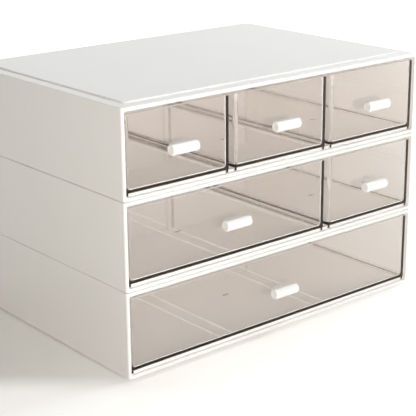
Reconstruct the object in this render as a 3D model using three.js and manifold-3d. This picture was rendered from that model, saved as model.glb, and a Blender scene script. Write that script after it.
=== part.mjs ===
// A desk organizer of three stacked white units with six clear drawers, in millimetres, +Z up, front towards -Y.
import * as THREE from 'three';
import { mergeVertices } from 'three/addons/utils/BufferGeometryUtils.js';
import loadManifold from 'manifold-3d';

// Case, the moulded shell of each of the three tiers
const case_width = 305;
const case_depth = 214;
const case_height = 68.4;
const case_side_wall = 2.2;
const case_back_wall = 2.2;
const case_floor_thickness = 3.2;
const case_ceiling_thickness = 2.9;
const case_upright_radius = 2.2;
const case_edge_chamfer = 0.5;
const opening_top_radius = 1.6;
const opening_bottom_radius = 2.0;
const tier_count = 3;

// Raised panel on the case's top, and the recess in the underside of the case above it
const panel_side_margin = 10;
const panel_front_margin = 11;
const panel_back_margin = 10;
const panel_height = 1.2;
const panel_corner_radius = 4;
const panel_chamfer = 0.3;
const stacking_clearance = 0.3;

// Anti-slip pads under the bottom case
const pad_radius = 7;
const pad_stand_out = 0.6;
const pad_edge_chamfer = 0.3;
const pad_inset = 16;

// Drawers
const drawers_across = 3;
const drawer_side_clearance = 1.2;
const drawer_gap = 6;
const drawer_front_inset = 2;
const drawer_back_clearance = 0.3;
const drawer_top_clearance = 2.4;
const drawer_wall = 1.5;
const drawer_floor_thickness = 1.5;
const drawer_underside_gap = 2.5;
const drawer_bottom_radius = 0.8;
const drawer_upright_radius = 0.8;
const drawer_brim_radius = 0.6;
const drawer_inner_bottom_radius = 3;
const drawer_inner_upright_radius = 1.5;

// Runners under a drawer and the rails on the case floor that they slide beside
const runner_width = 2;
const runner_seat_gap = 0.3;
const runner_edge_margin = 0.2;
const runner_front_margin = 0.5;
const runner_end_taper = 0.8;
const rail_width = 1.6;
const rail_height = 1.5;
const rail_guide_clearance = 0.5;
const rail_front_margin = 10;
const rail_back_margin = 8;
const rail_end_taper = 3;

// Low rib across the case floor under the drawers' fronts, open where a runner passes
const floor_rib_from_front = 2.8;
const floor_rib_thickness = 1.4;
const floor_rib_height = 2.1;
const floor_rib_draft = 0.2;
const floor_rib_clearance = 0.5;

// Mark that the mould's gate leaves on a drawer's floor
const gate_mark_length = 6;
const gate_mark_width = 1.4;
const gate_mark_height = 0.4;
const gate_mark_from_front = 68;

// Handle
const bar_radius = 4.2;
const bar_length = 24.6;
const bar_edge_radius = 1.1;
const bar_dish_depth = 0.3;
const bar_dish_radius = 2.7;
const bar_standoff = 6.0;
const handle_height_share = 0.469;
const neck_width = 15.6;
const neck_height = 7.9;
const neck_corner_radius = 2.2;
const slot_width = 13;
const slot_height = 5;
const slot_corner_radius = 1.2;
const prong_thickness = 2.2;
const prong_clearance = 0.3;
const prong_reach = 1.6;
const barb_overlap = 0.7;

// Faces on a quarter turn, and the overrun of a cut
const corner_faces = 4;
const bar_faces = 24;
const bar_edge_faces = 3;
const pad_faces = 24;
const cut_overrun = 1;

// Places worked out from the sizes above
const opening_width = case_width - 2 * case_side_wall;
const cavity_height = case_height - case_floor_thickness - case_ceiling_thickness;
const narrow_width = (opening_width - 2 * drawer_side_clearance - (drawers_across - 1) * drawer_gap) / drawers_across;
const drawer_pitch = narrow_width + drawer_gap;
const drawer_depth = case_depth - case_back_wall - drawer_front_inset - drawer_back_clearance;
const drawer_height = cavity_height - drawer_underside_gap - drawer_top_clearance;
const drawer_row_left = -opening_width / 2 + drawer_side_clearance;
const recess_depth = panel_height + stacking_clearance;
const pad_thickness = recess_depth + pad_stand_out;
const bar_centre_front = bar_standoff - drawer_front_inset;
const case_front = (bar_centre_front + bar_radius - case_depth) / 2;

const wasm = await loadManifold();
wasm.setup();

// Colours and finishes
const white_plastic = () => new THREE.MeshStandardMaterial({ color: 0xefeeea, roughness: 0.38, metalness: 0 });
const handle_plastic = () => new THREE.MeshStandardMaterial({ color: 0xf8f8f6, roughness: 0.3, metalness: 0 });
const pad_rubber = () => new THREE.MeshStandardMaterial({ color: 0xd8d6cf, roughness: 0.8, metalness: 0 });
const smoke_acrylic = () => new THREE.MeshStandardMaterial({
  color: 0xc9b6a6,
  roughness: 0.08,
  metalness: 0,
  transparent: true,
  opacity: 0.4,
});

// Turns a closed three.js geometry into a manifold solid
function solid(geometry) {
  const bare = geometry.index ? geometry.toNonIndexed() : geometry.clone();
  bare.deleteAttribute('normal');
  bare.deleteAttribute('uv');
  const welded = mergeVertices(bare, 1e-5);
  const mesh = new wasm.Mesh({
    numProp: 3,
    vertProperties: new Float32Array(welded.attributes.position.array),
    triVerts: new Uint32Array(welded.index.array),
  });
  return new wasm.Manifold(mesh);
}

// Turns a manifold solid back into a named three.js mesh
function named_mesh(name, body, material) {
  const mesh = body.getMesh();
  const geometry = new THREE.BufferGeometry();
  const points = new Float32Array(mesh.vertProperties);
  geometry.setAttribute('position', new THREE.BufferAttribute(points, mesh.numProp));
  geometry.setIndex(new THREE.BufferAttribute(new Uint32Array(mesh.triVerts), 1));
  geometry.computeVertexNormals();
  const piece = new THREE.Mesh(geometry, material);
  piece.name = name;
  return piece;
}

// Rectangle from a low corner, with one radius for the low corners and one for the high corners
function rounded_rectangle(left, low, width, height, low_radius, high_radius) {
  const right = left + width;
  const high = low + height;
  const shape = new THREE.Shape();
  shape.moveTo(left + low_radius, low);
  shape.lineTo(right - low_radius, low);
  shape.absarc(right - low_radius, low + low_radius, low_radius, -Math.PI / 2, 0, false);
  shape.lineTo(right, high - high_radius);
  shape.absarc(right - high_radius, high - high_radius, high_radius, 0, Math.PI / 2, false);
  shape.lineTo(left + high_radius, high);
  shape.absarc(left + high_radius, high - high_radius, high_radius, Math.PI / 2, Math.PI, false);
  shape.lineTo(left, low + low_radius);
  shape.absarc(left + low_radius, low + low_radius, low_radius, Math.PI, 1.5 * Math.PI, false);
  return shape;
}

// Solid whose outline is drawn from above and runs from low to high
function upright_solid(shape, low, high) {
  const geometry = new THREE.ExtrudeGeometry(shape, { depth: high - low, bevelEnabled: false, curveSegments: corner_faces });
  geometry.translate(0, 0, low);
  return solid(geometry);
}

// Solid whose outline is drawn from the front, in X and Z, and runs from front to back
function lengthwise_solid(shape, front, back) {
  const geometry = new THREE.ExtrudeGeometry(shape, { depth: back - front, bevelEnabled: false, curveSegments: corner_faces });
  geometry.rotateX(Math.PI / 2);
  geometry.translate(0, back, 0);
  return solid(geometry);
}

// Solid whose outline is drawn from the side, in Y and Z, and runs from left to right
function crosswise_solid(shape, left, right) {
  const geometry = new THREE.ExtrudeGeometry(shape, { depth: right - left, bevelEnabled: false, curveSegments: corner_faces });
  geometry.rotateX(Math.PI / 2);
  geometry.rotateZ(Math.PI / 2);
  geometry.translate(left, 0, 0);
  return solid(geometry);
}

// Straight ridge that lies along Y on a base and slopes down at both ends
function tapered_ridge(centre, width, front, back, base, top, taper) {
  const side = new THREE.Shape();
  side.moveTo(front, base);
  side.lineTo(back, base);
  side.lineTo(back - taper, top);
  side.lineTo(front + taper, top);
  return crosswise_solid(side, centre - width / 2, centre + width / 2);
}

// Flat block drawn from above, with both its low and its high edges chamfered
function chamfered_block(left, front, width, depth, radius, low, high, low_chamfer, high_chamfer) {
  const drawn_in = Math.max(low_chamfer, high_chamfer);
  const layers = [];
  const layer = (inset, from, to) => {
    const shape = rounded_rectangle(
      left + inset, front + inset, width - 2 * inset, depth - 2 * inset, radius - inset, radius - inset,
    );
    return upright_solid(shape, from, to);
  };
  layers.push(layer(0, low + low_chamfer, high - high_chamfer));
  if (low_chamfer > 0) layers.push(layer(drawn_in, low, low + low_chamfer));
  if (high_chamfer > 0) layers.push(layer(drawn_in, high - high_chamfer, high));
  return wasm.Manifold.hull(layers);
}

// Low guide rails stand inside the runners of each two neighbouring drawers
function rail_centres() {
  const centres = [];
  const from_drawer_side = runner_edge_margin + runner_width + rail_guide_clearance + rail_width / 2;
  for (let gap = 1; gap < drawers_across; gap += 1) {
    const gap_left = drawer_row_left + gap * drawer_pitch - drawer_gap;
    centres.push(gap_left - from_drawer_side);
    centres.push(gap_left + drawer_gap + from_drawer_side);
  }
  return centres;
}

// Rib along X on the case floor, from left to right, its faces drawn in a little towards the top
function floor_rib(left, right) {
  const side = new THREE.Shape();
  side.moveTo(floor_rib_from_front, case_floor_thickness / 2);
  side.lineTo(floor_rib_from_front + floor_rib_thickness, case_floor_thickness / 2);
  side.lineTo(floor_rib_from_front + floor_rib_thickness - floor_rib_draft, case_floor_thickness + floor_rib_height);
  side.lineTo(floor_rib_from_front + floor_rib_draft, case_floor_thickness + floor_rib_height);
  return crosswise_solid(side, left, right);
}

// Stretches of the floor rib between the runners of one tier's drawers
function rib_stretches(rows) {
  const stretches = [];
  const runner_reach = runner_edge_margin + runner_width + floor_rib_clearance;
  rows.forEach((row, place) => {
    const left = drawer_row_left + row.start * drawer_pitch;
    const right = left + row.span * drawer_pitch - drawer_gap;
    stretches.push([left + runner_reach, right - runner_reach]);
    if (place < rows.length - 1) {
      const outer = runner_edge_margin - floor_rib_clearance;
      stretches.push([right - outer, right + drawer_gap + outer]);
    }
  });
  return stretches;
}

// Case: a shell open at the front, with its raised top panel, its stacking recess, its floor rails and its floor rib
function case_solid(rows) {
  const left = -case_width / 2;
  const outside = chamfered_block(
    left, 0, case_width, case_depth, case_upright_radius, 0, case_height, case_edge_chamfer, case_edge_chamfer,
  );
  const opening = rounded_rectangle(
    left + case_side_wall, case_floor_thickness, opening_width, cavity_height, opening_bottom_radius, opening_top_radius,
  );
  const cavity = lengthwise_solid(opening, -cut_overrun, case_depth - case_back_wall);
  const panel_width = case_width - 2 * panel_side_margin;
  const panel_depth = case_depth - panel_front_margin - panel_back_margin;
  const panel = chamfered_block(
    left + panel_side_margin, panel_front_margin, panel_width, panel_depth, panel_corner_radius,
    case_height - case_ceiling_thickness / 2, case_height + panel_height, 0, panel_chamfer,
  );
  const recess = upright_solid(
    rounded_rectangle(
      left + panel_side_margin - stacking_clearance,
      panel_front_margin - stacking_clearance,
      panel_width + 2 * stacking_clearance,
      panel_depth + 2 * stacking_clearance,
      panel_corner_radius + stacking_clearance,
      panel_corner_radius + stacking_clearance,
    ),
    -cut_overrun,
    recess_depth,
  );
  let body = outside.subtract(cavity).add(panel).subtract(recess);
  for (const centre of rail_centres()) {
    body = body.add(tapered_ridge(
      centre, rail_width, rail_front_margin, case_depth - case_back_wall - rail_back_margin,
      case_floor_thickness - rail_height / 2, case_floor_thickness + rail_height, rail_end_taper,
    ));
  }
  for (const [rib_left, rib_right] of rib_stretches(rows)) {
    body = body.add(floor_rib(rib_left, rib_right));
  }
  return body;
}

// Slot in a drawer's front for its handle's prongs
function handle_slot_shape(centre, middle, clearance) {
  const width = slot_width + 2 * clearance;
  const height = slot_height + 2 * clearance;
  return rounded_rectangle(
    centre - width / 2, middle - height / 2, width, height, slot_corner_radius, slot_corner_radius,
  );
}

// Drawer: a clear tray drawn from its own left, front and underside, with runners below and a slot for its handle
function drawer_solid(width) {
  const outline = rounded_rectangle(0, 0, width, drawer_height, drawer_bottom_radius, drawer_brim_radius);
  const plan = rounded_rectangle(0, 0, width, drawer_depth, drawer_upright_radius, drawer_upright_radius);
  const outside = lengthwise_solid(outline, 0, drawer_depth).intersect(upright_solid(plan, 0, drawer_height));
  const inner_width = width - 2 * drawer_wall;
  const inner_outline = rounded_rectangle(
    drawer_wall, drawer_floor_thickness, inner_width, drawer_height, drawer_inner_bottom_radius, drawer_brim_radius,
  );
  const inner_plan = rounded_rectangle(
    drawer_wall, drawer_wall, inner_width, drawer_depth - 2 * drawer_wall,
    drawer_inner_upright_radius, drawer_inner_upright_radius,
  );
  const inside = lengthwise_solid(inner_outline, 0, drawer_depth)
    .intersect(upright_solid(inner_plan, 0, drawer_height + drawer_floor_thickness + cut_overrun));
  let body = outside.subtract(inside);
  const runner_drop = drawer_underside_gap - runner_seat_gap;
  for (const centre of [runner_edge_margin + runner_width / 2, width - runner_edge_margin - runner_width / 2]) {
    const keel = tapered_ridge(
      centre, runner_width, runner_front_margin, drawer_depth - runner_front_margin,
      -drawer_bottom_radius, runner_drop, runner_end_taper,
    );
    body = body.add(keel.mirror([0, 0, 1]));
  }
  const mark = upright_solid(
    rounded_rectangle(
      width / 2 - gate_mark_length / 2, gate_mark_from_front - gate_mark_width / 2,
      gate_mark_length, gate_mark_width, gate_mark_width / 3, gate_mark_width / 3,
    ),
    drawer_floor_thickness / 2,
    drawer_floor_thickness + gate_mark_height,
  );
  const slot = lengthwise_solid(
    handle_slot_shape(width / 2, drawer_height * handle_height_share, prong_clearance),
    -cut_overrun,
    drawer_wall + cut_overrun,
  );
  return body.add(mark).subtract(slot);
}

// Profile of the handle's bar from its axis out, with a rounded rim and a shallow dish in each end
function bar_profile() {
  const half = bar_length / 2;
  const points = [new THREE.Vector2(0, -half + bar_dish_depth)];
  points.push(new THREE.Vector2(bar_dish_radius, -half + bar_dish_depth));
  points.push(new THREE.Vector2(bar_dish_radius + bar_dish_depth, -half));
  for (let step = 0; step <= bar_edge_faces; step += 1) {
    const turn = (step / bar_edge_faces) * Math.PI / 2;
    points.push(new THREE.Vector2(
      bar_radius - bar_edge_radius + bar_edge_radius * Math.sin(turn),
      -half + bar_edge_radius - bar_edge_radius * Math.cos(turn),
    ));
  }
  const mirrored = points.map((point) => new THREE.Vector2(point.x, -point.y)).reverse();
  return points.concat(mirrored);
}

// Handle, drawn about the middle of its bar: bar, neck and two snap prongs with barbs behind the drawer's front
function handle_solid() {
  const bar = new THREE.LatheGeometry(bar_profile(), bar_faces);
  bar.rotateZ(-Math.PI / 2);
  const neck_shape = rounded_rectangle(
    -neck_width / 2, -neck_height / 2, neck_width, neck_height, neck_corner_radius, neck_corner_radius,
  );
  let body = solid(bar).add(lengthwise_solid(neck_shape, 0, bar_standoff));
  const prong_half_height = slot_height / 2;
  const prong_end = bar_standoff + drawer_wall + prong_clearance + prong_reach;
  for (const side of [-1, 1]) {
    const outer = side * slot_width / 2;
    const inner = outer - side * prong_thickness;
    const prong = rounded_rectangle(
      Math.min(outer, inner), -prong_half_height, prong_thickness, slot_height,
      slot_corner_radius / 2, slot_corner_radius / 2,
    );
    const barb = new THREE.Shape();
    barb.moveTo(inner, prong_end - prong_reach);
    barb.lineTo(outer + side * (barb_overlap + prong_clearance), prong_end - prong_reach);
    barb.lineTo(outer, prong_end);
    barb.lineTo(inner, prong_end);
    body = body.add(lengthwise_solid(prong, bar_standoff - drawer_wall, prong_end));
    body = body.add(upright_solid(barb, -prong_half_height, prong_half_height));
  }
  return body;
}

// Pad: a round anti-slip disc with eased edges, drawn standing on the table
function pad_solid() {
  const profile = [
    new THREE.Vector2(0, 0),
    new THREE.Vector2(pad_radius - pad_edge_chamfer, 0),
    new THREE.Vector2(pad_radius, pad_edge_chamfer),
    new THREE.Vector2(pad_radius, pad_thickness),
    new THREE.Vector2(0, pad_thickness),
  ];
  const disc = new THREE.LatheGeometry(profile, pad_faces);
  disc.rotateX(Math.PI / 2);
  return solid(disc);
}

// Group that stands at the case's front on one tier's level
function tier_group(tier) {
  const group = new THREE.Group();
  group.position.set(0, case_front, pad_stand_out + tier * case_height);
  return group;
}

const organizer = new THREE.Group();

// Drawers of each tier: the place each starts at and the places it spans
const drawer_rows = [
  { name: 'bottom_full', tier: 0, start: 0, span: 3 },
  { name: 'middle_wide', tier: 1, start: 0, span: 2 },
  { name: 'middle_narrow', tier: 1, start: 2, span: 1 },
  { name: 'top_left', tier: 2, start: 0, span: 1 },
  { name: 'top_middle', tier: 2, start: 1, span: 1 },
  { name: 'top_right', tier: 2, start: 2, span: 1 },
];

// Cases, bottom to top
const tier_names = ['bottom', 'middle', 'top'];
const tiers = [];
for (let tier = 0; tier < tier_count; tier += 1) {
  const group = tier_group(tier);
  const rows = drawer_rows.filter((row) => row.tier === tier);
  group.add(named_mesh(`case_${tier_names[tier]}`, case_solid(rows), white_plastic()));
  organizer.add(group);
  tiers.push(group);
}

// Drawers with their handles
for (const row of drawer_rows) {
  const width = row.span * drawer_pitch - drawer_gap;
  const group = new THREE.Group();
  group.position.set(
    drawer_row_left + row.start * drawer_pitch,
    drawer_front_inset,
    case_floor_thickness + drawer_underside_gap,
  );
  group.add(named_mesh(`drawer_${row.name}`, drawer_solid(width), smoke_acrylic()));
  const handle = named_mesh(`handle_${row.name}`, handle_solid(), handle_plastic());
  handle.position.set(width / 2, -bar_standoff, drawer_height * handle_height_share);
  group.add(handle);
  tiers[row.tier].add(group);
}

// Pads in the recess under the bottom case, one near each corner
const pad_places = [];
for (const side of [-1, 1]) {
  for (const end of [-1, 1]) {
    pad_places.push({
      name: `pad_${end < 0 ? 'front' : 'back'}_${side < 0 ? 'left' : 'right'}`,
      x: side * (case_width / 2 - panel_side_margin - pad_inset),
      y: end < 0 ? panel_front_margin + pad_inset : case_depth - panel_back_margin - pad_inset,
    });
  }
}
for (const place of pad_places) {
  const pad = named_mesh(place.name, pad_solid(), pad_rubber());
  pad.position.set(place.x, place.y, -pad_stand_out);
  tiers[0].add(pad);
}

export default organizer;
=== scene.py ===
"""A desk organizer: three stacked white units and six clear smoke-brown drawers with white bar handles."""

import math

import bmesh
import bpy
from mathutils import Matrix, Vector


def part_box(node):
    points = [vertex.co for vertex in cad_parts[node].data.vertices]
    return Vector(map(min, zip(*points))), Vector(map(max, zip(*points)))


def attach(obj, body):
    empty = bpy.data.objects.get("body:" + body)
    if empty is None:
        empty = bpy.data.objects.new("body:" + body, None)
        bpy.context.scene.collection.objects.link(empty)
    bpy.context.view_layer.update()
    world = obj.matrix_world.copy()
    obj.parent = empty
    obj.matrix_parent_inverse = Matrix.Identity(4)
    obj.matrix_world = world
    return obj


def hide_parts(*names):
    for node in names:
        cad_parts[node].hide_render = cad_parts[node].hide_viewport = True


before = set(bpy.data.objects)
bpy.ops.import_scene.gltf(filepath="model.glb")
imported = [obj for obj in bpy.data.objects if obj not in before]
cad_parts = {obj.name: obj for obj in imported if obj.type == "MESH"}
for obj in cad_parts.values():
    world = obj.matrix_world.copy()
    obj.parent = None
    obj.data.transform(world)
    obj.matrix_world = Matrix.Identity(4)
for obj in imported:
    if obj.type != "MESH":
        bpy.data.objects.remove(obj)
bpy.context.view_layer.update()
scene = bpy.context.scene

# Camera
# It stands left of the organizer and above it, and a long lens keeps the far edges nearly parallel.
# Its place is measured from the foot of the front left corner of the bottom unit.
MM = 0.001
case_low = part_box("case_bottom")[0]
front_left_foot = Vector((case_low.x, case_low.y, 0))
camera_offset = Vector((-477.1, -666.8, 396.3)) * MM
camera_turn = math.radians(-39.69)
camera_tilt = math.radians(-17.80)
camera_roll = math.radians(-0.49)
camera_lens = 105.76

camera_data = bpy.data.cameras.new("camera")
camera_data.lens = camera_lens
camera_data.sensor_width = 36
camera_data.clip_start = 0.05
camera = bpy.data.objects.new("camera", camera_data)
scene.collection.objects.link(camera)
camera.matrix_world = (
    Matrix.Translation(front_left_foot + camera_offset)
    @ Matrix.Rotation(camera_turn, 4, "Z")
    @ Matrix.Rotation(math.pi / 2 + camera_tilt, 4, "X")
    @ Matrix.Rotation(camera_roll, 4, "Z")
)
scene.camera = camera


# Studio
# A seamless pale floor under six soft lamps, warm on the left and cool on the right, in a faint surround.
# The camera, the gloss and the clear drawers show the surround plain white, and the floor lifted towards
# white, least of all in the organizer's shade.
def colour(hex_code):
    """The linear colour of an sRGB hex code."""
    parts = [int(hex_code[i : i + 2], 16) / 255 for i in (0, 2, 4)]
    return tuple(p / 12.92 if p <= 0.04045 else ((p + 0.055) / 1.055) ** 2.4 for p in parts) + (1.0,)


def add_node(tree, kind, settings=None, **links):
    """Adds a node. Settings name its properties or sockets; links name the sockets that other nodes feed."""
    node = tree.nodes.new(kind)
    for key, value in (settings or {}).items():
        if hasattr(node, key):
            setattr(node, key, value)
        else:
            node.inputs[key].default_value = value
    for key, source in links.items():
        tree.links.new(source, node.inputs[key.replace("_", " ")])
    return node


def new_material(name):
    """An empty node material and its tree."""
    material = bpy.data.materials.new(name)
    material.use_nodes = True
    material.node_tree.nodes.clear()
    return material, material.node_tree


def background_rays(tree):
    """One for the rays that show the background: the camera's, the gloss's and those through plastic."""
    rays = add_node(tree, "ShaderNodeLightPath")
    camera_or_glossy = add_node(tree, "ShaderNodeMath", {"operation": "MAXIMUM"})
    tree.links.new(rays.outputs["Is Camera Ray"], camera_or_glossy.inputs[0])
    tree.links.new(rays.outputs["Is Glossy Ray"], camera_or_glossy.inputs[1])
    seen = add_node(tree, "ShaderNodeMath", {"operation": "MAXIMUM"})
    tree.links.new(camera_or_glossy.outputs[0], seen.inputs[0])
    tree.links.new(rays.outputs["Is Transmission Ray"], seen.inputs[1])
    return seen.outputs[0]


scene.view_settings.view_transform = "Standard"
scene.cycles.max_bounces = 36
scene.cycles.diffuse_bounces = 20
scene.cycles.transmission_bounces = 20
scene.cycles.transparent_max_bounces = 160
surround_strength = 0.05
surround_colour = "FFF9F0"
seen_colour = "FDFDFA"
floor_colour = "F7F6F2"
floor_size = 6.0
# The floor's lift is painted light. It grows with the distance from the shade's centre, and is larger past
# the shade's near edge and in front of the cases, so the organizer's shade on the floor is partly painted
# shadow.
# The pairs are from and to: metres, and strengths of plain white.
shade_centre = (-0.17, 0.03, 0.0)
shade_reach = (0.05, 1.05)
floor_lift = (0.05, 1.0)
shade_edge_heading = (0.639, 0.769, 0.0)
shade_edge = (-0.200, -0.150)
lift_past_edge = 0.42
front_edge_reach = 6 * MM
lift_in_front = 0.37
# Each lamp: name, heading from the organizer, distance, width and height in metres, watts, colour.
lamps = (
    ("low front lamp", (0.10, -1.0, 0.13), 2.2, (1.5, 0.42), 13.5, "FDFEFF"),
    ("front left lamp", (-0.5, -1.0, 0.30), 2.2, (1.2, 0.9), 12.0, "FEFEFD"),
    ("near left lamp", (-0.75, -1.0, 0.35), 0.9, (0.5, 0.5), 1.7, "FFF8EE"),
    ("left fill", (-1.0, -0.25, 0.25), 2.2, (1.2, 0.8), 3.7, "FFEBD2"),
    ("right lamp", (0.9, 0.1, 1.0), 2.2, (1.3, 1.3), 33.0, "FAFCFF"),
    ("top lamp", (0.0, 0.05, 1.0), 2.2, (1.6, 1.6), 7.0, "FDFFFC"),
)

world = bpy.data.worlds.new("surround")
scene.world = world
world.use_nodes = True
world.node_tree.nodes.clear()
even_light = add_node(
    world.node_tree, "ShaderNodeBackground", {"Color": colour(surround_colour), "Strength": surround_strength}
)
plain_white = add_node(
    world.node_tree, "ShaderNodeBackground", {"Color": colour(seen_colour), "Strength": 1.0}
)
chosen = add_node(world.node_tree, "ShaderNodeMixShader", Fac=background_rays(world.node_tree))
world.node_tree.links.new(even_light.outputs[0], chosen.inputs[1])
world.node_tree.links.new(plain_white.outputs[0], chosen.inputs[2])
add_node(world.node_tree, "ShaderNodeOutputWorld", Surface=chosen.outputs[0])

floor_material, tree = new_material("pale studio floor")
floor_white = add_node(tree, "ShaderNodeBsdfDiffuse", {"Color": colour(floor_colour)})
place = add_node(tree, "ShaderNodeTexCoord")
from_shade = add_node(tree, "ShaderNodeVectorMath", {"operation": "DISTANCE"})
from_shade.inputs[1].default_value = shade_centre
tree.links.new(place.outputs["Object"], from_shade.inputs[0])
lift = add_node(
    tree, "ShaderNodeMapRange",
    {
        "From Min": shade_reach[0], "From Max": shade_reach[1],
        "To Min": floor_lift[0], "To Max": floor_lift[1],
    },
    Value=from_shade.outputs["Value"],
)
along_shade = add_node(tree, "ShaderNodeVectorMath", {"operation": "DOT_PRODUCT"})
along_shade.inputs[1].default_value = shade_edge_heading
tree.links.new(place.outputs["Object"], along_shade.inputs[0])
past_edge = add_node(
    tree, "ShaderNodeMapRange",
    {
        "interpolation_type": "SMOOTHSTEP", "From Min": shade_edge[0], "From Max": shade_edge[1],
        "To Min": lift_past_edge, "To Max": 0.0,
    },
    Value=along_shade.outputs["Value"],
)
larger = add_node(tree, "ShaderNodeMath", {"operation": "MAXIMUM"})
tree.links.new(lift.outputs["Result"], larger.inputs[0])
tree.links.new(past_edge.outputs["Result"], larger.inputs[1])
along_depth = add_node(tree, "ShaderNodeSeparateXYZ", Vector=place.outputs["Object"])
in_front = add_node(
    tree, "ShaderNodeMapRange",
    {
        "interpolation_type": "SMOOTHSTEP", "From Min": case_low.y - front_edge_reach, "From Max": case_low.y,
        "To Min": lift_in_front, "To Max": 0.0,
    },
    Value=along_depth.outputs["Y"],
)
largest = add_node(tree, "ShaderNodeMath", {"operation": "MAXIMUM"})
tree.links.new(larger.outputs[0], largest.inputs[0])
tree.links.new(in_front.outputs["Result"], largest.inputs[1])
# Painted light: the floor's glow is weakest in the organizer's shade, so that shade is partly painted shadow.
floor_glow = add_node(tree, "ShaderNodeEmission", {"Color": colour(seen_colour)}, Strength=largest.outputs[0])
floor_seen = add_node(tree, "ShaderNodeAddShader")
tree.links.new(floor_white.outputs[0], floor_seen.inputs[0])
tree.links.new(floor_glow.outputs[0], floor_seen.inputs[1])
floor_choice = add_node(tree, "ShaderNodeMixShader", Fac=background_rays(tree))
tree.links.new(floor_white.outputs[0], floor_choice.inputs[1])
tree.links.new(floor_seen.outputs[0], floor_choice.inputs[2])
add_node(tree, "ShaderNodeOutputMaterial", Surface=floor_choice.outputs[0])

floor_mesh = bpy.data.meshes.new("floor")
half_floor = floor_size / 2
floor_mesh.from_pydata(
    [
        (-half_floor, -half_floor, 0), (half_floor, -half_floor, 0),
        (half_floor, half_floor, 0), (-half_floor, half_floor, 0),
    ],
    [],
    [(0, 1, 2, 3)],
)
floor_mesh.materials.append(floor_material)
floor = bpy.data.objects.new("floor", floor_mesh)
scene.collection.objects.link(floor)

for name, direction, distance, size, power, hue in lamps:
    lamp_data = bpy.data.lights.new(name, "AREA")
    lamp_data.energy = power
    lamp_data.shape = "RECTANGLE"
    lamp_data.size, lamp_data.size_y = size
    lamp_data.color = colour(hue)[:3]
    lamp = bpy.data.objects.new(name, lamp_data)
    scene.collection.objects.link(lamp)
    lamp.location = Vector(direction).normalized() * distance
    lamp.rotation_euler = (-Vector(direction)).to_track_quat("-Z", "Y").to_euler()


# White cases
# Three shells moulded in white polystyrene, open at the front, each with a raised panel that seats in the
# recess under the next one. Low rails on the floor guide the drawers, and a rib crosses the floor under the
# drawers' fronts, with an opening for each runner.
case_wall = 2.2 * MM
case_floor = 3.2 * MM
case_ceiling = 2.9 * MM
case_upright_radius = 2.2 * MM
case_edge_radius = 0.7 * MM
mouth_edge_radius = 0.5 * MM
cavity_low_radius = 2.0 * MM
cavity_high_radius = 1.6 * MM
cavity_back_radius = 0.8 * MM
panel_side_margin = 10 * MM
panel_front_margin = 11 * MM
panel_back_margin = 10 * MM
panel_height = 1.2 * MM
panel_corner_radius = 4 * MM
panel_edge_radius = 0.4 * MM
seam_gap = 0.7 * MM
seam_depth = 5.0 * MM
seam_front_depth = 2.0 * MM
recess_mouth_radius = 0.3 * MM
recess_edge_radius = 0.2 * MM
stacking_clearance = 0.3 * MM
cut_overrun = 4 * MM
sunk_depth = 1 * MM
sharp_radius = 0.02 * MM
merge_distance = 0.002 * MM
sharp_angle = math.radians(38)
edge_steps = 4
corner_steps = 8
small_steps = 3


def rounded_outline(low_a, high_a, low_b, high_b, low_radius, high_radius, steps):
    """A rectangle's points with rounded corners: one radius for the low ones, one for the high ones."""
    centres = (
        (high_a - low_radius, low_b + low_radius, low_radius, -90),
        (high_a - high_radius, high_b - high_radius, high_radius, 0),
        (low_a + high_radius, high_b - high_radius, high_radius, 90),
        (low_a + low_radius, low_b + low_radius, low_radius, 180),
    )
    points = []
    for a, b, radius, start in centres:
        for step in range(steps + 1):
            turn = math.radians(start + 90 * step / steps)
            points.append((a + radius * math.cos(turn), b + radius * math.sin(turn)))
    return points


def mesh_object(name, points, faces):
    """An object of these points and faces, with all faces turned outwards."""
    mesh = bpy.data.meshes.new(name)
    mesh.from_pydata([tuple(p) for p in points], [], faces)
    shape = bmesh.new()
    shape.from_mesh(mesh)
    bmesh.ops.recalc_face_normals(shape, faces=shape.faces)
    shape.to_mesh(mesh)
    shape.free()
    made = bpy.data.objects.new(name, mesh)
    scene.collection.objects.link(made)
    return made


def skinned(name, rings):
    """A closed solid through rings of equal point counts, capped at both ends."""
    count = len(rings[0])
    points = [p for ring in rings for p in ring]
    faces = [tuple(range(count)), tuple(range(len(points) - count, len(points)))]
    for ring in range(len(rings) - 1):
        start = ring * count
        for i in range(count):
            j = (i + 1) % count
            faces.append((start + i, start + j, start + count + j, start + count + i))
    return mesh_object(name, points, faces)


def rounded_block(name, low, high, axis, corners, ends, steps=corner_steps, end_steps=edge_steps):
    """A block whose outline, across the axis, has rounded corners, and whose end edges are rounded too.

    A negative end radius flares the end and runs it past its face, as a cutter for a rounded mouth."""
    across = {"X": (1, 2, 0), "Y": (0, 2, 1), "Z": (0, 1, 2)}[axis]
    levels = []
    for end, (face, inward) in enumerate(((low[across[2]], 1), (high[across[2]], -1))):
        radius = abs(ends[end])
        flare = -1 if ends[end] < 0 else 1
        arc = []
        for step in range(end_steps + 1 if radius else 1):
            turn = math.pi / 2 * step / end_steps
            arc.append((face + inward * radius * (1 - math.cos(turn)), flare * radius * (1 - math.sin(turn))))
        if flare < 0:
            arc.insert(0, (face - inward * cut_overrun, -radius))
        levels.append(arc)
    profile = levels[0] + levels[1][::-1]
    rings = []
    for level, inset in profile:
        outline = rounded_outline(
            low[across[0]] + inset, high[across[0]] - inset, low[across[1]] + inset, high[across[1]] - inset,
            max(corners[0] - inset, sharp_radius), max(corners[1] - inset, sharp_radius), steps,
        )
        ring = []
        for a, b in outline:
            point = [0, 0, 0]
            point[across[0]], point[across[1]], point[across[2]] = a, b, level
            ring.append(Vector(point))
        rings.append(ring)
    return skinned(name, rings)


def combined(body, tool, operation):
    """Joins or cuts the body with a tool, which is used up."""
    change = body.modifiers.new("change", "BOOLEAN")
    change.operation = operation
    change.solver = "EXACT"
    change.object = tool
    bpy.context.view_layer.update()
    result = bpy.data.meshes.new_from_object(body.evaluated_get(bpy.context.evaluated_depsgraph_get()))
    body.modifiers.clear()
    body.data = result
    bpy.data.objects.remove(tool)


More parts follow.
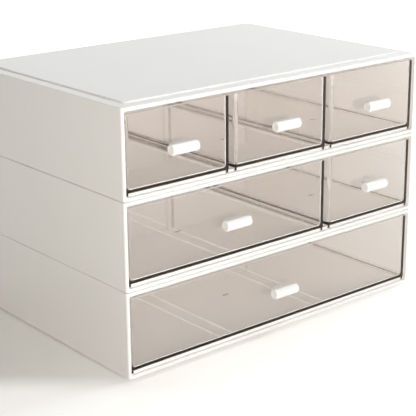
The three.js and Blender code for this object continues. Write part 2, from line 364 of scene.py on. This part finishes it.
def smooth_finish(piece):
    """Merges doubles, shades smooth up to the sharp angle and keeps broad faces flat."""
    shape = bmesh.new()
    shape.from_mesh(piece.data)
    bmesh.ops.remove_doubles(shape, verts=shape.verts, dist=merge_distance)
    bmesh.ops.dissolve_degenerate(shape, edges=shape.edges, dist=merge_distance)
    shape.to_mesh(piece.data)
    shape.free()
    piece.data.shade_smooth()
    piece.data.set_sharp_from_angle(angle=sharp_angle)
    weighting = piece.modifiers.new("flat faces", "WEIGHTED_NORMAL")
    weighting.keep_sharp = True
    bpy.context.view_layer.update()
    piece.data = bpy.data.meshes.new_from_object(piece.evaluated_get(bpy.context.evaluated_depsgraph_get()))
    piece.modifiers.clear()
    return piece


def moulded_polystyrene():
    """High-impact polystyrene from a fine-spark mould: even white, a satin shine and a faint orange peel."""
    material, tree = new_material("moulded white polystyrene")
    place = add_node(tree, "ShaderNodeTexCoord")
    grain = add_node(
        tree, "ShaderNodeTexNoise", {"Scale": 1 / (0.9 * MM), "Detail": 2.0, "Roughness": 0.5},
        Vector=place.outputs["Object"],
    )
    cloud = add_node(
        tree, "ShaderNodeTexNoise", {"Scale": 1 / (70 * MM), "Detail": 2.0, "Roughness": 0.5},
        Vector=place.outputs["Object"],
    )
    tint = add_node(tree, "ShaderNodeMix", {"data_type": "RGBA"}, Factor=cloud.outputs["Fac"])
    tint.inputs["A"].default_value = colour("F6F5F3")
    tint.inputs["B"].default_value = colour("F9F8F7")
    shine = add_node(tree, "ShaderNodeMapRange", {"To Min": 0.34, "To Max": 0.44}, Value=grain.outputs["Fac"])
    peel = add_node(
        tree, "ShaderNodeBump", {"Strength": 0.05, "Distance": 0.05 * MM}, Height=grain.outputs["Fac"]
    )
    plastic = add_node(
        tree, "ShaderNodeBsdfPrincipled", {"IOR": 1.55, "Metallic": 0.0},
        Base_Color=tint.outputs["Result"], Roughness=shine.outputs["Result"], Normal=peel.outputs["Normal"],
    )
    add_node(tree, "ShaderNodeOutputMaterial", Surface=plastic.outputs[0])
    return material


rail_width = 1.6 * MM
rail_height = 1.5 * MM
rail_front_margin = 10 * MM
rail_back_margin = 8 * MM
rail_edge_radius = 0.5 * MM
rail_edge_steps = 4
rails_in_pair = 2
drawer_gaps = 2
white_material = moulded_polystyrene()
drawer_low, drawer_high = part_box("drawer_top_left")
drawer_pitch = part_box("drawer_top_middle")[0].x - drawer_low.x
runner_edge_margin = 0.2 * MM
runner_width = 2 * MM
rail_guide_clearance = 0.5 * MM
rail_from_side = runner_edge_margin + runner_width + rail_guide_clearance + rail_width / 2
rail_pair_gap = drawer_pitch - (drawer_high.x - drawer_low.x) + 2 * rail_from_side
rib_from_front = 2.8 * MM
rib_thickness = 1.4 * MM
rib_height = 2.1 * MM
rib_clearance = 0.5 * MM
rib_edge_radius = 0.2 * MM


def rail_tree():
    """Lays a pair of rails at each gap between drawers: a rounded bar swept from front to back and copied."""
    tree = bpy.data.node_groups.new("guide rails", "GeometryNodeTree")
    inputs = {}
    kinds = {name: "Float" for name in ("Rail width", "Rail height", "Rail length", "Rail edge")}
    kinds.update({"Pair gap": "Float", "Drawer pitch": "Float", "Start": "Vector", "Finish": "Material"})
    for name, kind in kinds.items():
        socket = tree.interface.new_socket(name, in_out="INPUT", socket_type="NodeSocket" + kind)
        inputs[name] = socket.identifier
    tree.interface.new_socket("Rails", in_out="OUTPUT", socket_type="NodeSocketGeometry")
    given = add_node(tree, "NodeGroupInput").outputs
    section = add_node(
        tree, "GeometryNodeCurvePrimitiveQuadrilateral",
        Width=given["Rail width"], Height=given["Rail height"],
    )
    eased = add_node(
        tree, "GeometryNodeFilletCurve", {"mode": "POLY", "Count": rail_edge_steps},
        Curve=section.outputs[0], Radius=given["Rail edge"],
    )
    reach = add_node(tree, "ShaderNodeCombineXYZ", Y=given["Rail length"])
    path = add_node(tree, "GeometryNodeCurvePrimitiveLine", End=reach.outputs[0])
    rail = add_node(
        tree, "GeometryNodeCurveToMesh", {"Fill Caps": True},
        Curve=path.outputs[0], Profile_Curve=eased.outputs[0],
    )
    pair_step = add_node(tree, "ShaderNodeCombineXYZ", X=given["Pair gap"])
    pair_points = add_node(
        tree, "GeometryNodeMeshLine", {"Count": rails_in_pair},
        Start_Location=given["Start"], Offset=pair_step.outputs[0],
    )
    pair = add_node(
        tree, "GeometryNodeInstanceOnPoints", Points=pair_points.outputs[0], Instance=rail.outputs[0]
    )
    row_step = add_node(tree, "ShaderNodeCombineXYZ", X=given["Drawer pitch"])
    row_points = add_node(tree, "GeometryNodeMeshLine", {"Count": drawer_gaps}, Offset=row_step.outputs[0])
    rows = add_node(
        tree, "GeometryNodeInstanceOnPoints", Points=row_points.outputs[0], Instance=pair.outputs[0]
    )
    solid = add_node(tree, "GeometryNodeRealizeInstances", Geometry=rows.outputs[0])
    painted = add_node(tree, "GeometryNodeSetMaterial", Geometry=solid.outputs[0], Material=given["Finish"])
    outlet = add_node(tree, "NodeGroupOutput")
    tree.links.new(painted.outputs[0], outlet.inputs[0])
    return tree, inputs


guide_rails, rail_inputs = rail_tree()


def rails_on(floor_level, front, back):
    """The four rails of one case, standing half sunk in its floor."""
    holder = bpy.data.objects.new("rails", bpy.data.meshes.new("rails"))
    scene.collection.objects.link(holder)
    laid = holder.modifiers.new("rails", "NODES")
    laid.node_group = guide_rails
    first = drawer_high.x - rail_from_side
    for name, value in {
        "Rail width": rail_width,
        "Rail height": 2 * rail_height,
        "Rail length": back - front,
        "Rail edge": rail_edge_radius,
        "Pair gap": rail_pair_gap,
        "Drawer pitch": drawer_pitch,
        "Start": (first, front, floor_level),
        "Finish": white_material,
    }.items():
        laid[rail_inputs[name]] = value
    bpy.context.view_layer.update()
    holder.data = bpy.data.meshes.new_from_object(holder.evaluated_get(bpy.context.evaluated_depsgraph_get()))
    holder.modifiers.clear()
    return holder


def ribs_on(drawers, floor_level, front):
    """The stretches of one case's floor rib, which leave the runners of its drawers free."""
    boxes = [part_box("drawer_" + name) for name in drawers]
    reach = runner_edge_margin + runner_width + rib_clearance
    outer = rib_clearance - runner_edge_margin
    stretches = [(low.x + reach, high.x - reach) for low, high in boxes]
    stretches += [(left[1].x + outer, right[0].x - outer) for left, right in zip(boxes, boxes[1:])]
    ribs = []
    for start, end in stretches:
        rib_low = Vector((start, front + rib_from_front, floor_level - sunk_depth))
        rib_high = Vector((end, front + rib_from_front + rib_thickness, floor_level + rib_height))
        ribs.append(rounded_block(
            "rib", rib_low, rib_high, "X", (sharp_radius, rib_edge_radius),
            (rib_edge_radius, rib_edge_radius), small_steps,
        ))
    return ribs


def white_case(node, drawers):
    """One case, built inside its CAD node's box, for these drawers."""
    low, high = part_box(node)
    shell_high = Vector((high.x, high.y, high.z - panel_height))
    upright_corners = (case_upright_radius, case_upright_radius)
    body = rounded_block(
        "shell_" + node, low, shell_high, "Z", upright_corners, (case_edge_radius, case_edge_radius)
    )
    cavity_low = Vector((low.x + case_wall, low.y, low.z + case_floor))
    cavity_high = Vector((high.x - case_wall, high.y - case_wall, shell_high.z - case_ceiling))
    cavity = rounded_block(
        "cavity", cavity_low, cavity_high, "Y", (cavity_low_radius, cavity_high_radius),
        (-mouth_edge_radius, cavity_back_radius),
    )
    combined(body, cavity, "DIFFERENCE")
    panel_foot = shell_high.z - case_ceiling / 2
    panel_low = Vector((low.x + panel_side_margin, low.y + panel_front_margin, panel_foot))
    panel_high = Vector((high.x - panel_side_margin, high.y - panel_back_margin, high.z))
    panel = rounded_block(
        "panel", panel_low, panel_high, "Z", (panel_corner_radius, panel_corner_radius),
        (0, panel_edge_radius),
    )
    combined(body, panel, "UNION")
    clearance = Vector((stacking_clearance, stacking_clearance, 0))
    recess_low = Vector((panel_low.x, panel_low.y, low.z)) - clearance
    recess_high = Vector((panel_high.x, panel_high.y, low.z + panel_height + stacking_clearance)) + clearance
    recess_corner = panel_corner_radius + stacking_clearance
    recess = rounded_block(
        "recess", recess_low, recess_high, "Z", (recess_corner, recess_corner),
        (-recess_mouth_radius, recess_edge_radius),
    )
    combined(body, recess, "DIFFERENCE")
    overrun = Vector((cut_overrun, cut_overrun, 0))
    groove_low = low - overrun - Vector((0, 0, cut_overrun))
    groove_high = Vector((high.x, high.y, low.z + seam_gap)) + overrun
    groove = rounded_block("groove", groove_low, groove_high, "Z", upright_corners, (0, 0))
    seat_low = Vector((low.x + seam_depth, low.y + seam_front_depth, low.z - 2 * cut_overrun))
    seat_high = Vector((high.x - seam_depth, high.y - seam_depth, low.z + 2 * seam_gap))
    seat = rounded_block("seat", seat_low, seat_high, "Z", upright_corners, (0, 0))
    combined(groove, seat, "DIFFERENCE")
    combined(body, groove, "DIFFERENCE")
    rails = rails_on(cavity_low.z, low.y + rail_front_margin, cavity_high.y - rail_back_margin)
    combined(body, rails, "UNION")
    for rib in ribs_on(drawers, cavity_low.z, low.y):
        combined(body, rib, "UNION")
    smooth_finish(body)
    body.data.materials.clear()
    body.data.materials.append(white_material)
    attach(body, "case_stack")
    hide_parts(node)


white_case("case_bottom", ("bottom_full",))
white_case("case_middle", ("middle_wide", "middle_narrow"))
white_case("case_top", ("top_left", "top_middle", "top_right"))


# Clear drawers
# Six trays injection moulded in smoke-brown acrylic, one piece each, with a runner under both sides.
# The tint is in the plastic, so a wall looks pale face on and nearly black along its length. Along the brim
# and the bends inside the front, the faces carry a painted highlight: they turn partly white and less clear,
# which shows as white lines.
drawer_wall = 1.5 * MM
drawer_floor = 1.5 * MM
drawer_bottom_radius = 0.8 * MM
drawer_face_radius = 0.5 * MM
drawer_brim_radius = 0.6 * MM
drawer_inner_low_radius = 3 * MM
drawer_inner_end_radius = 2.4 * MM
drawer_inner_brim_radius = 0.6 * MM
drawer_inner_steps = 12
# Painted highlight: which faces are marked, how white they turn, and the faint level on the left bend.
highlight_bend_facing = (0.60, 0.93)
highlight_brim_facing = 0.5
highlight_whiteness = 0.7
highlight_left_bend = 0.2
highlight_left_lean = 0.1
dye_colour = "D99A7E"
dye_density = 6.5
runner_drop = 2.2 * MM
runner_front_margin = 0.5 * MM
runner_edge_radius = 0.4 * MM
runner_end_radius = 0.4 * MM
gate_mark_length = 6 * MM
gate_mark_width = 1.4 * MM
gate_mark_height = 0.4 * MM
gate_mark_edge_radius = 0.15 * MM
gate_mark_from_front = 68 * MM
slot_width = 13 * MM
slot_height = 5 * MM
slot_radius = 1.2 * MM
prong_clearance = 0.3 * MM


def smoke_acrylic():
    """Moulded acrylic with a brown smoke dye: a polished face, light bent by 1.49, darker with depth.

    Shadow and diffuse rays go straight through it, so that the lamps light the insides evenly."""
    material, tree = new_material("smoke-tinted acrylic")
    place = add_node(tree, "ShaderNodeTexCoord")
    flow = add_node(
        tree, "ShaderNodeTexNoise", {"Scale": 1 / (45 * MM), "Detail": 1.0, "Roughness": 0.4},
        Vector=place.outputs["Object"],
    )
    ripple = add_node(
        tree, "ShaderNodeBump", {"Strength": 0.04, "Distance": 0.4 * MM}, Height=flow.outputs["Fac"]
    )
    shine = add_node(tree, "ShaderNodeMapRange", {"To Min": 0.015, "To Max": 0.04}, Value=flow.outputs["Fac"])
    # Painted highlight: marked faces lose clearness and turn part white.
    painted_highlight = add_node(tree, "ShaderNodeAttribute", {"attribute_name": "painted_highlight"})
    clearness = add_node(
        tree, "ShaderNodeMapRange", {"To Min": 1.0, "To Max": 1 - highlight_whiteness}, Value=painted_highlight.outputs["Fac"]
    )
    clear = add_node(
        tree, "ShaderNodeBsdfPrincipled",
        {"Base Color": colour("FFFFFF"), "IOR": 1.49, "Metallic": 0.0, "Specular Tint": colour("FFDCC4")},
        Roughness=shine.outputs["Result"], Normal=ripple.outputs["Normal"],
        Transmission_Weight=clearness.outputs["Result"],
    )
    open_way = add_node(tree, "ShaderNodeBsdfTransparent", {"Color": colour("FFFFFF")})
    rays = add_node(tree, "ShaderNodeLightPath")
    plain_way = add_node(tree, "ShaderNodeMath", {"operation": "MAXIMUM"})
    tree.links.new(rays.outputs["Is Shadow Ray"], plain_way.inputs[0])
    tree.links.new(rays.outputs["Is Diffuse Ray"], plain_way.inputs[1])
    either = add_node(tree, "ShaderNodeMixShader", Fac=plain_way.outputs[0])
    tree.links.new(clear.outputs[0], either.inputs[1])
    tree.links.new(open_way.outputs[0], either.inputs[2])
    dye = add_node(tree, "ShaderNodeVolumeAbsorption", {"Color": colour(dye_colour), "Density": dye_density})
    add_node(tree, "ShaderNodeOutputMaterial", Surface=either.outputs[0], Volume=dye.outputs[0])
    return material


acrylic_material = smoke_acrylic()


def mark_painted_highlights(tray, low, high):
    """Marks the faces along the brim and along the bend inside the front that carry the painted highlight.
    The bend on the left side stays almost clear, with only a faint painted highlight."""
    painted_highlight = tray.data.attributes.new("painted_highlight", "FLOAT", "FACE")
    bend_back = low.y + drawer_wall + drawer_inner_end_radius
    for face in tray.data.polygons:
        on_bend = highlight_bend_facing[0] < face.normal.y < highlight_bend_facing[1] and face.center.y < bend_back
        on_brim = face.normal.z > highlight_brim_facing and face.center.z > high.z - drawer_brim_radius
        level = highlight_left_bend if on_bend and face.normal.x > highlight_left_lean else 1.0
        painted_highlight.data[face.index].value = level if on_bend or on_brim else 0.0


def clear_drawer(node):
    """One tray, built inside its CAD node's box."""
    low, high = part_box(node)
    tray_low = Vector((low.x, low.y, low.z + runner_drop))
    body = rounded_block(
        "tray_" + node, tray_low, high, "Y", (drawer_bottom_radius, drawer_brim_radius),
        (drawer_face_radius, drawer_face_radius),
    )
    runner_top = tray_low.z + drawer_floor / 2
    for side in (low.x + runner_edge_margin, high.x - runner_edge_margin - runner_width):
        runner_low = Vector((side, low.y + runner_front_margin, low.z))
        runner_high = Vector((side + runner_width, high.y - runner_front_margin, runner_top))
        runner = rounded_block(
            "runner", runner_low, runner_high, "Y", (runner_edge_radius, sharp_radius),
            (runner_end_radius, runner_end_radius), small_steps,
        )
        combined(body, runner, "UNION")
    inside_low = Vector((low.x + drawer_wall, low.y + drawer_wall, tray_low.z + drawer_floor))
    inside_high = Vector((high.x - drawer_wall, high.y - drawer_wall, high.z + cut_overrun))
    inside = rounded_block(
        "inside", inside_low, inside_high, "Y", (drawer_inner_low_radius, drawer_inner_brim_radius),
        (drawer_inner_end_radius, drawer_inner_end_radius), drawer_inner_steps, drawer_inner_steps,
    )
    combined(body, inside, "DIFFERENCE")
    centre = (low.x + high.x) / 2
    mark_front = low.y + gate_mark_from_front - gate_mark_width / 2
    mark_low = Vector((centre - gate_mark_length / 2, mark_front, inside_low.z - sunk_depth))
    mark_high = mark_low + Vector((gate_mark_length, gate_mark_width, sunk_depth + gate_mark_height))
    mark = rounded_block(
        "mark", mark_low, mark_high, "Z", (gate_mark_width / 3, gate_mark_width / 3),
        (0, gate_mark_edge_radius), small_steps,
    )
    combined(body, mark, "UNION")
    handle_low, handle_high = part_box(node.replace("drawer_", "handle_"))
    middle = (handle_low.z + handle_high.z) / 2
    reach = Vector((slot_width / 2 + prong_clearance, 0, slot_height / 2 + prong_clearance))
    slot_low = Vector((centre, low.y - cut_overrun, middle)) - reach
    slot_high = Vector((centre, inside_low.y + sunk_depth, middle)) + reach
    slot = rounded_block("slot", slot_low, slot_high, "Y", (slot_radius, slot_radius), (0, 0), small_steps)
    combined(body, slot, "DIFFERENCE")
    smooth_finish(body)
    mark_painted_highlights(body, low, high)
    body.data.materials.clear()
    body.data.materials.append(acrylic_material)
    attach(body, node)
    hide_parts(node)


drawer_names = ("bottom_full", "middle_wide", "middle_narrow", "top_left", "top_middle", "top_right")
for name in drawer_names:
    clear_drawer("drawer_" + name)


# Handles
# A short white bar on a neck, moulded in one piece, with two barbed prongs that snap through the front.
# The bar's ends have an eased rim round a shallow dish.
bar_radius = 4.2 * MM
bar_edge_radius = 1.1 * MM
bar_edge_steps = 6
bar_dish_depth = 0.3 * MM
bar_dish_radius = 2.7 * MM
bar_dish_slope = 0.35 * MM
bar_pole_share = 0.02
bar_standoff = 6.0 * MM
bar_steps = 64
neck_width = 15.6 * MM
neck_height = 7.9 * MM
neck_radius = 2.2 * MM
neck_foot_radius = 0.3 * MM
prong_thickness = 2.2 * MM
prong_reach = 1.6 * MM
prong_tip_radius = 0.3 * MM
barb_overlap = 0.7 * MM
barb_side_inset = 0.2 * MM
barb_root_inset = 0.4 * MM
barb_tip_inset = 0.1 * MM


def handle_plastic():
    """ABS, injection moulded in a polished tool: a clean cool white with a soft shine."""
    material, tree = new_material("moulded white ABS")
    place = add_node(tree, "ShaderNodeTexCoord")
    grain = add_node(
        tree, "ShaderNodeTexNoise", {"Scale": 1 / (0.8 * MM), "Detail": 2.0, "Roughness": 0.5},
        Vector=place.outputs["Object"],
    )
    shine = add_node(tree, "ShaderNodeMapRange", {"To Min": 0.24, "To Max": 0.34}, Value=grain.outputs["Fac"])
    peel = add_node(
        tree, "ShaderNodeBump", {"Strength": 0.04, "Distance": 0.05 * MM}, Height=grain.outputs["Fac"]
    )
    plastic = add_node(
        tree, "ShaderNodeBsdfPrincipled", {"Base Color": colour("F8F8F7"), "IOR": 1.54, "Metallic": 0.0},
        Roughness=shine.outputs["Result"], Normal=peel.outputs["Normal"],
    )
    add_node(tree, "ShaderNodeOutputMaterial", Surface=plastic.outputs[0])
    return material


handle_material = handle_plastic()


def turned_bar(centre, half_length):
    """The bar as rings from its left end to its right end."""
    end = [
        (bar_dish_radius * bar_pole_share, bar_dish_depth), (bar_dish_radius, bar_dish_depth),
        (bar_dish_radius + bar_dish_slope, 0),
    ]
    for step in range(bar_edge_steps + 1):
        turn = math.pi / 2 * step / bar_edge_steps
        ring_radius = bar_radius - bar_edge_radius * (1 - math.sin(turn))
        end.append((ring_radius, bar_edge_radius * (1 - math.cos(turn))))
    profile = [(radius, -half_length + depth) for radius, depth in end]
    profile += [(radius, -along) for radius, along in reversed(profile)]
    rings = []
    for radius, along in profile:
        ring = []
        for step in range(bar_steps):
            turn = 2 * math.pi * step / bar_steps
            ring.append(centre + Vector((along, radius * math.cos(turn), radius * math.sin(turn))))
        rings.append(ring)
    return skinned("bar", rings)


def bar_handle(name):
    """One handle, built inside its CAD node's box."""
    low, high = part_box("handle_" + name)
    centre = Vector(((low.x + high.x) / 2, low.y + bar_radius, (low.z + high.z) / 2))
    body = turned_bar(centre, (high.x - low.x) / 2)
    front_face = centre.y + bar_standoff
    neck_reach = Vector((neck_width / 2, 0, neck_height / 2))
    neck_high = Vector((centre.x, front_face, centre.z)) + neck_reach
    neck = rounded_block(
        "neck", centre - neck_reach, neck_high, "Y", (neck_radius, neck_radius), (0, neck_foot_radius)
    )
    combined(body, neck, "UNION")
    prong_end = front_face + drawer_wall + prong_clearance + prong_reach
    for side in (-1, 1):
        outer = centre.x + side * slot_width / 2
        inner = outer - side * prong_thickness
        prong_low = Vector((min(outer, inner), front_face - sunk_depth, centre.z - slot_height / 2))
        prong_high = Vector((max(outer, inner), prong_end, centre.z + slot_height / 2))
        prong = rounded_block(
            "prong", prong_low, prong_high, "Y", (slot_radius / 2, slot_radius / 2), (0, prong_tip_radius),
            small_steps,
        )
        combined(body, prong, "UNION")
        tip = outer + side * (barb_overlap + prong_clearance)
        catch = prong_end - prong_reach
        rings = []
        root = inner + side * barb_root_inset
        for level in (prong_low.z + barb_side_inset, prong_high.z - barb_side_inset):
            rings.append([
                Vector((root, catch, level)),
                Vector((tip, catch, level)),
                Vector((outer, prong_end - barb_tip_inset, level)),
                Vector((root, prong_end - barb_tip_inset, level)),
            ])
        combined(body, skinned("barb", rings), "UNION")
    body.name = "grip_" + name
    smooth_finish(body)
    body.data.materials.clear()
    body.data.materials.append(handle_material)
    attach(body, "drawer_" + name)
    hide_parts("handle_" + name)


for name in drawer_names:
    bar_handle(name)


# Pads
# Four round anti-slip pads of soft grey rubber, glued into the recess under the bottom unit.
# They hold it a little off the table.
pad_edge_radius = 0.4 * MM
pad_edge_step = 0.12 * MM
pad_top_radius = 0.1 * MM
pad_steps = 48


def pad_rubber():
    """Silicone rubber, cut from sheet: grey-white, dull, with a fine tooth."""
    material, tree = new_material("silicone rubber")
    place = add_node(tree, "ShaderNodeTexCoord")
    tooth = add_node(
        tree, "ShaderNodeTexNoise", {"Scale": 1 / (0.5 * MM), "Detail": 3.0, "Roughness": 0.6},
        Vector=place.outputs["Object"],
    )
    tint = add_node(tree, "ShaderNodeMix", {"data_type": "RGBA"}, Factor=tooth.outputs["Fac"])
    tint.inputs["A"].default_value = colour("CFCDC5")
    tint.inputs["B"].default_value = colour("DAD8D1")
    bump = add_node(
        tree, "ShaderNodeBump", {"Strength": 0.2, "Distance": 0.1 * MM}, Height=tooth.outputs["Fac"]
    )
    rubber = add_node(
        tree, "ShaderNodeBsdfPrincipled", {"IOR": 1.42, "Roughness": 0.8, "Metallic": 0.0},
        Base_Color=tint.outputs["Result"], Normal=bump.outputs["Normal"],
    )
    add_node(tree, "ShaderNodeOutputMaterial", Surface=rubber.outputs[0])
    return material


rubber_material = pad_rubber()
for place_name in ("front_left", "front_right", "back_left", "back_right"):
    node = "pad_" + place_name
    low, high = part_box(node)
    centre = (low + high) / 2
    radius = (high.x - low.x) / 2
    rings = []
    for level, inset in (
        (low.z, pad_edge_radius), (low.z + pad_edge_step, pad_edge_step), (low.z + pad_edge_radius, 0),
        (high.z - pad_top_radius, 0), (high.z, pad_top_radius),
    ):
        rings.append([
            Vector((
                centre.x + (radius - inset) * math.cos(2 * math.pi * step / pad_steps),
                centre.y + (radius - inset) * math.sin(2 * math.pi * step / pad_steps),
                level,
            ))
            for step in range(pad_steps)
        ])
    pad = smooth_finish(skinned("foot_" + place_name, rings))
    pad.data.materials.append(rubber_material)
    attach(pad, "case_stack")
    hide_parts(node)
